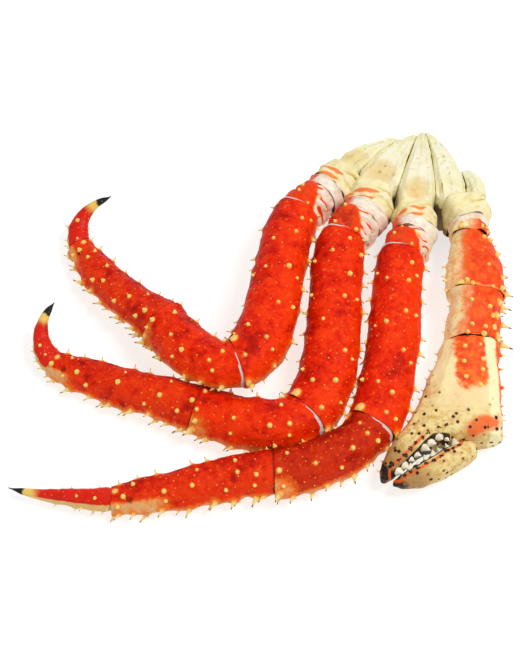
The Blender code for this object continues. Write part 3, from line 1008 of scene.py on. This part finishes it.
def leg_shell(limb, part, course, fields, rng):
    """One red shell of a leg or of the claw arm, with its relief and its spines."""
    kind = f"claw_{part}" if limb == "claw" else part
    shell = Shell(course, near=(5, 8) if part != "merus" else (4, 12),
                  snug=0.96 if part == "merus" and limb != "claw" else 1.0)
    for size, depth in ((21, 1.2), (9, 0.7), (3.2, 0.32)):
        shell.push(depth * shell.rumple(size, size))
    inner = smooth_step(shell.share, 0.0, 0.08) * (1 - shell.inside)
    for row in SPINE_ROWS[kind]:
        ridge = smooth_step(np.cos(shell.angle - math.radians(row[0])), 0.92, 1.0)
        shell.push((1.2 if abs(row[0]) < 10 else 0.5) * ridge * inner)
    shell.push(-0.35 * inner)
    if part == "merus":
        shell.swell(0.968, 124, 4.0, 2.2, 2.0)
        shell.swell(0.985, 10, 5.0, 1.2)
    if part == "propodus":
        shell.push(-2.0 * smooth_step(shell.share, 0.70, 1.0))
        shell.swell(0.955, 100, 2.6, 0.9, 1.5)
    if kind == "claw_merus":
        side = smooth_step(shell.outer, -0.2, 0.8)
        shell.push(-3.4 * smooth_step(shell.share, 0.55, -0.05) * side)
        shell.push(-0.9 * smooth_step(shell.share, 0.85, 1.0))
    if kind == "claw_carpus":
        # Two pale flecks on the upper side are painted wet glints: small swells marked with
        # spine-foot cream.
        shell.swell(0.42, 48, 2.0, 0.2, 1.6)
        shell.swell(0.60, 36, 2.6, 0.2, 1.6)
        shell.push(0.5 * smooth_step(shell.share, 0.45, 0) * smooth_step(shell.share, -0.08, 0))
    elif part == "carpus":
        shell.swell(0.06, 160, 4.5, 1.2)
        shell.swell(0.95, 8, 5.0, 1.4)
        shell.swell(0.93, -14, 6.0, 1.8, 0.0)
    for row in SPINE_ROWS[kind]:
        grow_row(shell, fields, row, rng)
    material = FINISHES.get(f"{limb}_{part}", FINISHES.get(kind, FINISHES["red"]))
    lean = {"carpus": 0.040, "merus": -0.02}.get(part, 0.0) * (limb != "claw")
    skin = smooth_step(lean * shell.outer - shell.share, -0.004, 0.004) * (limb != "claw")
    # On the propodus the joint line at the wrist is a dark painted shadow in place of pale skin. A
    # dark stain also sits near the far end. Both go into the cup's dark painted shade.
    if part == "propodus":
        bruise, _ = shell.at(0.86, 62)
        dark = smooth_step(shell.gap(bruise) - 1.2 * shell.rumple(2, 51), 3.0, 1.2)
        shell.inside = np.maximum(shell.inside, np.maximum(skin, 0.8 * dark))
        skin = skin * 0
    return shell.piece("claw_cream" if kind == "claw_carpus" else "shell_red", material,
                       warty=warty_mask(shell), tan=tan_places(part, shell, limb == "leg_3"),
                       skin=skin)


def bulge_below(shell, limb, height, share=1.0):
    """Legs 2 and 3 swell low on the outer side of their first rings."""
    if limb in LEGS[1:]:
        shell.push(height * smooth_step(np.cos(shell.angle + 0.5), 0.2, 0.9) * share)


def ischium_shell(limb, course, fields, rng):
    """The short ring before the long segment: red and warty inside, soft folds outside."""
    shell = Shell(course, near=(4, 3), cup=4.0, spacing=0.9, snug=1.0)
    outer, face = shell.outer, shell.face
    slant = shell.share + 0.16 * outer
    groove = bump(slant, 0.42, 0.09) * np.clip(face + 0.6, 0, 1)
    folded = smooth_step(outer - 1.15 * shell.share, -0.35, 0.05)
    pleat = np.cos(2 * math.pi * (3.4 * slant + 0.3 * shell.rumple(7, 3)))
    lumps = 1.9 * shell.rumple(8, 8) + 0.6 * shell.rumple(3.5, 9)
    shell.push(lumps - 1.6 * groove + 0.9 * folded * pleat)
    if limb == "claw":
        shell.push(-1.8 * smooth_step(outer, 0.0, 0.9))
    for row in SPINE_ROWS["ischium"]:
        grow_row(shell, fields, row, rng, 0.9)
    bulge_below(shell, limb, 2.8, smooth_step(shell.share, 0.8, 0.2))
    slit = bump(pleat, -0.9, 0.5) * smooth_step(shell.rumple(6, 5), -0.3, 0.3)
    material = FINISHES["claw_ring" if limb == "claw" else "ischium"]
    shell.piece("shell_red", material, warty=warty_mask(shell), folded=folded * (1 - slit),
                tan=0.6 * smooth_step(outer - face, 0.9, 1.3))


def coxa_shell_piece(limb, course):
    """The cream base ring: an uneven knob with corners, striped on its upper inner half."""
    near = (10, 3) if limb == "claw" else (5, 3)
    shell = Shell(course, near=near, cup=4.0, square=2.6, spacing=0.9, snug=1.0)
    outer, face = shell.outer, shell.face
    bend = shell.share + 0.14 * outer + 0.05 * shell.rumple(9, 31)
    crease = bump(bend, 0.46, 0.05) + 0.8 * bump(bend, 0.78, 0.05)
    lumps = 2.9 * shell.rumple(10, 11) + 1.0 * shell.rumple(4.5, 12)
    shell.push(0.8 + lumps - 1.5 * crease * smooth_step(face, -0.3, 0.4))
    for share, angle, radius, height in ((0.30, 38, 6.5, 2.2), (0.22, 128, 6, 1.6),
                                         (0.62, 12, 5, 1.4), (0.70, 92, 5, 0.8)):
        shell.swell(share, angle, radius, height)
    bulge_below(shell, limb, 3.2, smooth_step(shell.share, 0.1, 0.6))
    stripe = bump(bend, 0.66, 0.06) + bump(bend, 0.90, 0.06)
    stripe *= smooth_step(face, 0.0, 0.4) * smooth_step(outer, 0.60, 0.15)
    # The painted shade of the ring: its underside, its creases and its lower outer side.
    shade_below_and_in_creases = np.maximum(smooth_step(face, 0.15, -0.5) * abs(outer),
                       0.75 * crease * smooth_step(outer, -0.2, 0.4))
    shade_below_and_in_creases = np.maximum(shade_below_and_in_creases, smooth_step(np.cos(shell.angle + 0.6), 0.70, 1.0))
    shell.piece("shell_cream", FINISHES["coxa"], stripe=stripe * (limb != "claw"), crust=shade_below_and_in_creases)


def membrane_skin(limb, course):
    """The joint skin: slanting soft folds round the limb."""
    shell = Shell(course, near=(5, 1.5), cup=2.5, spacing=0.5, snug=1.0)
    bend = shell.share + 0.34 * np.cos(shell.angle - 0.6)
    wave = bend * 2.4 + 0.4 * shell.rumple(9, 4)
    fold = 0.5 + 0.5 * np.cos(2 * math.pi * wave)
    shell.push(0.6 + 1.7 * fold + 1.2 * shell.rumple(6, 14))
    shell.push(1.5 * smooth_step(shell.share, 0.5, 0.05))
    bulge_below(shell, limb, 3.2)
    material = FINISHES["claw_skin" if limb == "claw" else "skin"]
    shell.piece("membrane_white", material, "skin", fold=fold)


def toe_shell_piece(limb, course, fields, rng):
    """The toe: a curved horn that ends in a hard point."""
    shell = Shell(course, near=(4, 5), cup=0.5, spacing=0.9, square=2.1)
    shell.push(0.5 * shell.rumple(6, 6) * smooth_step(shell.share, 0.8, 0.5))
    for row in SPINE_ROWS["dactyl"]:
        grow_row(shell, fields, row, rng, 0.85)
    material = FINISHES["toe_straight" if limb == "leg_3" else "toe_curled"]
    shell.piece("shell_red", material)


# ---------------------------------------------------------------- remade solids

class Form(Surface):
    """An even, fine copy of a solid, shaped by moving its points along their normals."""

    def __init__(self, node, voxel, relax):
        self.node = node
        bm = bmesh.new()
        bm.from_mesh(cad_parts[node].data)
        bmesh.ops.remove_doubles(bm, verts=bm.verts, dist=0.01 * MM)
        mesh = bpy.data.meshes.new(f"{node}_merged")
        bm.to_mesh(mesh)
        bm.free()
        carrier = add_object(f"{node}_merged", mesh)
        remesh = carrier.modifiers.new("even", "REMESH")
        remesh.mode, remesh.voxel_size = "VOXEL", voxel * MM
        smooth = carrier.modifiers.new("relax", "SMOOTH")
        smooth.iterations, smooth.factor = relax, 0.5
        graph = bpy.context.evaluated_depsgraph_get()
        self.mesh = bpy.data.meshes.new_from_object(carrier.evaluated_get(graph))
        bpy.data.objects.remove(carrier)
        self.read()

    def read(self):
        count = len(self.mesh.vertices)
        points, normals = np.empty(count * 3), np.empty(count * 3)
        self.mesh.vertices.foreach_get("co", points)
        self.mesh.vertex_normals.foreach_get("vector", normals)
        self.points, self.normals = points.reshape(-1, 3), normals.reshape(-1, 3)

    def push(self, amount):
        """Moves each point out along its normal by an amount in millimetres."""
        self.points = self.points + self.normals * (amount * MM)[:, None]
        self.mesh.vertices.foreach_set("co", self.points.ravel())
        self.mesh.update()
        self.read()

    def swell(self, point, radius, height):
        gap = self.gap(point, radius)
        self.push(height * np.exp(-gap * gap))

    def piece(self, slot, material, **values):
        """The form as a smooth piece with its attributes, in place of its solid."""
        for key, value in values.items():
            add_attribute(self.mesh, key, value)
        self.mesh.name = f"{self.node}_shell"
        self.mesh.materials.clear()
        register(add_piece(self.mesh.name, self.mesh, material), slot, self.node)


def nearest_other(points, nodes, reach):
    """For each point the gap to other solids, at most reach millimetres, and the nearest place."""
    tree = BVHTree.FromPolygons(
        [Vector(corner) for node in nodes for corner in triangles(node).reshape(-1, 3)],
        [(3 * k, 3 * k + 1, 3 * k + 2) for k in range(sum(len(triangles(n)) for n in nodes))],
    )
    gaps, places = np.full(len(points), float(reach)), points.copy()
    for index, point in enumerate(points):
        place, _, _, distance = tree.find_nearest(Vector(point), reach * MM)
        if place is not None:
            gaps[index], places[index] = distance / MM, place
    return gaps, places


# Hollows in the plates' upper side: place as shares of the plate's box, half sizes across and
# along, and depth, in millimetres.
PLATE_HOLLOWS = {
    1: ((0.26, 0.32, 14, 11, 1.4), (0.62, 0.60, 9, 14, 0.9)),
    2: ((0.36, 0.28, 15, 15, 2.2), (0.66, 0.66, 8, 16, 1.0)),
    3: ((0.50, 0.17, 12, 13, 2.6), (0.56, 0.62, 8, 22, 1.3)),
    4: ((0.34, 0.16, 9, 8, 2.8), (0.45, 0.60, 10, 22, 1.3)),
    5: ((0.50, 0.35, 5, 9, 1.0),),
}


def shoulder_plate(number):
    """One plate of the shoulder: drawn up to its neighbours, dented and ridged."""
    node = f"shoulder_plate_{number}"
    form = Form(node, 0.75, 5)
    low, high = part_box(node)
    others = [f"shoulder_plate_{k}" for k in range(1, 6) if k != number]
    gaps, places = nearest_other(form.points, others, 5.0)
    close = (0.5 - 0.09 / np.maximum(gaps, 0.18)) * smooth_step(gaps, 5.0, 3.0)
    form.points += (places - form.points) * close[:, None] * (form.points[:, 2:] > 12 * MM)
    # How near a neighbour plate is. This sets the dark painted shade of the seam.
    seam = smooth_step(gaps, 4.3, 2.2)
    form.push(np.zeros(len(form.points)))
    upper = smooth_step(form.normals[:, 2], 0.0, 0.6)
    share = (form.points - np.array(low)) / np.array(high - low)
    slices = np.clip((share[:, 1] * 20).astype(int), 0, 19)
    edges = [[pick(form.points[slices == k, 0]) for k in range(20)] for pick in (np.min, np.max)]
    left, right = (np.interp(share[:, 1], (np.arange(20) + 0.5) / 20, edge) for edge in edges)
    across = abs(2 * (form.points[:, 0] - left) / (right - left) - 1)
    ends = smooth_step(share[:, 1], 0.0, 0.15) * smooth_step(share[:, 1], 1.0, 0.8)
    flat = -2.0 * np.clip(1 - (across / 0.75) ** 2, 0, 1) + 0.9 * bump(across, 0.72, 0.12)
    form.push(flat * upper * ends * (number < 5))
    upper = smooth_step(form.normals[:, 2], 0.0, 0.6)
    # Where the dents near the front are, for their painted tan shade.
    hollow = np.zeros(len(form.points))
    for x, y, half_x, half_y, depth in PLATE_HOLLOWS[number]:
        gap = np.hypot((share[:, 0] - x) * (high.x - low.x) / half_x,
                       (share[:, 1] - y) * (high.y - low.y) / half_y) / MM
        dent = np.exp(-gap ** 4) * upper
        hollow = np.maximum(hollow, dent * (y < 0.4) * (number < 4))
        form.push(-depth * dent)
    waves = 0.9 * form.rumple(15, number) + 0.4 * form.rumple(5, 7)
    form.push(waves * (0.3 + 0.7 * upper))
    height = form.points[:, 2] / MM
    # Low at the front of the plate, for the dark painted shade of the hole there.
    pocket = smooth_step(share[:, 1], 0.16, 0.04) * smooth_step(height, 44, 30)
    form.piece("shell_cream", FINISHES["plate"], pocket=pocket, along=1 - share[:, 1], seam=seam,
               hollow=hollow, face=form.normals[:, 2])


class PalmFrame:
    """Places on the claw: advance from the wrist, and sideways to the arm's outer side, in mm."""

    def __init__(self):
        ends = flat_ends("claw_palm")
        wrist, back = max(ends, key=lambda end: end[0].y)
        self.origin, self.advance = np.array(wrist), -np.array(back)
        self.sideways = np.cross((0, 0, 1), self.advance)

    def place(self, points):
        offset = (points - self.origin) / MM
        return offset @ self.advance, offset @ self.sideways

    def on_top(self, form, advance, sideways):
        """The point of a form's upper side that is nearest to a place, and its normal."""
        a, b = self.place(form.points)
        gap = np.hypot(a - advance, b - sideways) + 40 * (form.normals[:, 2] < 0.25)
        index = int(np.argmin(gap))
        return form.points[index], form.normals[index]


# The inner edges of the claw's fingers, from hinge to tip: advance and sideways in millimetres.
FIXED_EDGE = ((87, -24), (89, -34), (94, -40), (102, -48), (111, -57), (116, -63))
MOVING_EDGE = ((90, -18), (95, -27), (102, -36), (109, -47), (113, -56), (117, -61))
# Knobs on the palm's back, in the same measures.
PALM_KNOBS = ((10, 5), (12, -7), (23, 5), (26, -9), (34, 4), (40, -8), (46, 3))


def walk(edge, step):
    """Evenly spaced places and headings along an open run of straight edges."""
    places = []
    carry = 0.0
    for (a, b), (c, d) in zip(edge, edge[1:]):
        length = math.hypot(c - a, d - b)
        while carry <= length:
            places.append((a + (c - a) * carry / length, b + (d - b) * carry / length,
                           (c - a) / length, (d - b) / length))
            carry += step
        carry -= length
    return places


def claw_hand(fields, rng):
    """The palm with its fixed finger, and the moving finger."""
    hand = PalmFrame()
    palm, finger = Form("claw_palm", 0.75, 6), Form("claw_finger", 0.6, 5)
    for a, b in PALM_KNOBS:
        a, b = a + rng.uniform(-1, 1), b + rng.uniform(-1, 1)
        point, normal = hand.on_top(palm, a, b)
        palm.swell(point, 3.4, 0.9)
        point, normal = hand.on_top(palm, a, b)
        fields["knobs"].add(point - normal * PALM_SUNK * MM, normal, 2.0, rng.uniform(2.2, 3.2))
    advance, sideways = hand.place(palm.points)
    palm.push(2.0 * smooth_step(advance, 16, 4) * smooth_step(advance, 0.0, 2.0))
    for side, count, first, last in ((-1, 13, 6, 112), (1, 8, 5, 78)):
        for k in range(count):
            a = first + (last - first) * (k + rng.uniform(-0.3, 0.3)) / (count - 1)
            band = np.where(abs(advance - a) < 1.5, sideways * side, -1e3)
            band[palm.normals[:, 2] < -0.1] = -1e3
            point, normal = palm.points[np.argmax(band)], palm.normals[np.argmax(band)]
            size = rng.uniform(0.6, 1.1)
            fields["thorns"].add(point - normal * PALM_SUNK * MM, normal, 1.7 * size, 3.0 * size)
    for form, edge, turn in ((palm, FIXED_EDGE, 1), (finger, MOVING_EDGE, -1)):
        for a, b, da, db in walk(edge, 6.6):
            point, normal = hand.on_top(form, a + rng.uniform(-1, 1), b)
            across = (hand.advance * db - hand.sideways * da) * turn
            size = rng.uniform(0.65, 1.35)
            upward = np.array((rng.uniform(-0.3, 0.3), 0, rng.uniform(0.1, 0.8)))
            fields["teeth"].add(point - np.array((0, 0, 1.2 * MM)), upward - across,
                                3.3 * size, 4.4 * size)
        for a, b, da, db in walk(edge, 6.0):
            far = rng.uniform(3.5, 6.5)
            for _ in range(12):
                spot = (a + db * turn * far + rng.uniform(-1.1, 1.1),
                        b - da * turn * far + rng.uniform(-1.1, 1.1))
                point, normal = hand.on_top(form, *spot)
                lean = normal + np.array([rng.uniform(-0.5, 0.5) for _ in range(3)])
                fields["bristles"].add(point, lean, rng.uniform(0.5, 1.0), rng.uniform(0.6, 1.5))
    edges = np.array([place[:2] for edge in (FIXED_EDGE, MOVING_EDGE) for place in walk(edge, 1)])
    for form in (palm, finger):
        form.push(0.5 * form.rumple(8, 21) + 0.25 * form.rumple(3, 22))
        a, b = hand.place(form.points)
        rough = 0.5 * form.rumple(12, 40)
        gap = np.hypot(a[:, None] - edges[:, 0], b[:, None] - edges[:, 1]).min(1)
        on_finger = np.ones(len(a)) if form is finger else np.maximum(
            smooth_step(a + 12 * rough, 40, 98), smooth_step(a * 0.3 - b + 9 * rough, 30, 64))
        patch = (smooth_step(a - 14 * rough, 62, 34) * smooth_step(b - 5 * rough, -21, -11)
                 * smooth_step(b - 5 * rough, 13, 4))
        edge = smooth_step(b - 3 * rough, 15, 20) * smooth_step(a, 72, 56)
        hinge = 1.30 - np.hypot((a - 79 + 0.30 * (b - 2)) / 9, (b - 2) / 16) + 0.5 * rough
        hinge = np.clip(hinge, 0, 1)
        line = smooth_step(gap, 3.0, 4.5) * smooth_step(gap, 8.0, 5.5) * smooth_step(a, 84, 90)
        # Close to the fingers' inner edges, for the dark painted shade of the gap between them.
        mouth = smooth_step(gap, 3.4, 1.4) * smooth_step(a, 84, 88)
        is_palm = float(form is palm)
        form.piece("claw_cream", FINISHES["palm"], mouth=mouth, finger=on_finger,
                   patch=np.maximum(patch, edge) * is_palm,
                   strip=smooth_step(b, 4, 12) * smooth_step(b, 22, 14) * is_palm,
                   hinge=np.maximum(hinge, 0.75 * line), face=form.normals[:, 2],
                   tipward=np.clip((a - b - 128) / 56, 0, 1))


# ---------------------------------------------------------------- the whole cluster

def build_cluster():
    rng = random.Random(11)
    spines, warts = spine_tree(), scatter_tree()
    for limb in LEGS + ("claw",):
        on_claw = limb == "claw"
        fields = {kind: SpineField() for kind in SPINE_SHAPES}
        courses = limb_courses(limb, ARM_PARTS if on_claw else LEG_PARTS)
        coxa_shell_piece(limb, courses["coxa"])
        membrane_skin(limb, courses["membrane"])
        ischium_shell(limb, courses["ischium"], fields, rng)
        for part in ("merus", "carpus") if on_claw else ("merus", "carpus", "propodus"):
            shell = leg_shell(limb, part, courses[part], fields, rng)
            seed = len(courses) + len(limb)
            bumps = grow(f"{limb}_{part}_warts", shell.data.copy(), warts,
                         {**WARTS, "Seed": seed}, FINISHES["warts"])
            register(bumps, "shell_cream")
        if on_claw:
            claw_hand(fields, rng)
        else:
            toe_shell_piece(limb, courses["dactyl"], fields, rng)
        for kind, (slot, shape) in SPINE_SHAPES.items():
            if fields[kind].rows:
                mesh = fields[kind].points_mesh(f"{limb}_{kind}_places")
                register(grow(f"{limb}_{kind}", mesh, spines, shape, FINISHES[kind]), slot)
    for number in PLATE_HOLLOWS:
        shoulder_plate(number)


# ---------------------------------------------------------------- the studio

FLOOR_REACH = 6.0
FLOOR_GLOW = 0.68
SKY_GLOW = 0.46
# The lamps: place from the cluster's middle, size and energy.
LAMPS = {
    "key_light": ((0.60, -0.15, 1.15), 0.45, 9.0),
    "fill_light": ((-0.9, -0.7, 0.9), 1.0, 2.5),
    "back_light": ((0.1, 1.0, 0.9), 0.9, 2.5),
}
# The camera looks down by this angle, from this far, at a place beside the cluster's middle.
CAMERA_ANGLE = math.radians(55)
CAMERA_DISTANCE = 0.95
CAMERA_AIM = Vector((-1.3, -21.9, -9.9)) * MM


def build_studio():
    """Floor, lights and camera."""
    mesh = bpy.data.meshes.new("floor")
    corners = ((-1, -1), (1, -1), (1, 1), (-1, 1))
    mesh.from_pydata([(x * FLOOR_REACH, y * FLOOR_REACH, 0) for x, y in corners], [],
                     [(0, 1, 2, 3)])
    floor = add_object("floor", mesh)
    white = plain_finish("floor_white", (172, 172, 172), (170, 170, 170), 0.9)
    shader = white.node_tree.nodes["Principled BSDF"]
    shader.inputs["Emission Color"].default_value = (1, 1, 1, 1)
    shader.inputs["Emission Strength"].default_value = FLOOR_GLOW
    mesh.materials.append(white)
    low, high = cad_box
    middle = (Vector(low) + Vector(high)) / 2
    for name, (place, size, energy) in LAMPS.items():
        lamp = bpy.data.lights.new(name, "AREA")
        lamp.size, lamp.energy = size, energy
        light = add_object(name, lamp)
        light.location = middle + Vector(place)
        light.rotation_euler = (middle - light.location).to_track_quat("-Z", "Y").to_euler()
    world = bpy.data.worlds.new("studio")
    world.use_nodes = True
    world.node_tree.nodes["Background"].inputs[0].default_value = (1, 1, 1, 1)
    world.node_tree.nodes["Background"].inputs[1].default_value = SKY_GLOW
    bpy.context.scene.world = world
    bpy.context.scene.view_settings.view_transform = "Standard"
    lens = bpy.data.cameras.new("camera")
    lens.lens, lens.sensor_width, lens.sensor_fit = 64, 36, "AUTO"
    camera = add_object("camera", lens)
    back = Vector((0, -math.cos(CAMERA_ANGLE), math.sin(CAMERA_ANGLE)))
    camera.location = middle + CAMERA_AIM + back * CAMERA_DISTANCE
    camera.rotation_euler = (math.pi / 2 - CAMERA_ANGLE, 0, 0)
    bpy.context.scene.camera = camera


build_cluster()
build_studio()
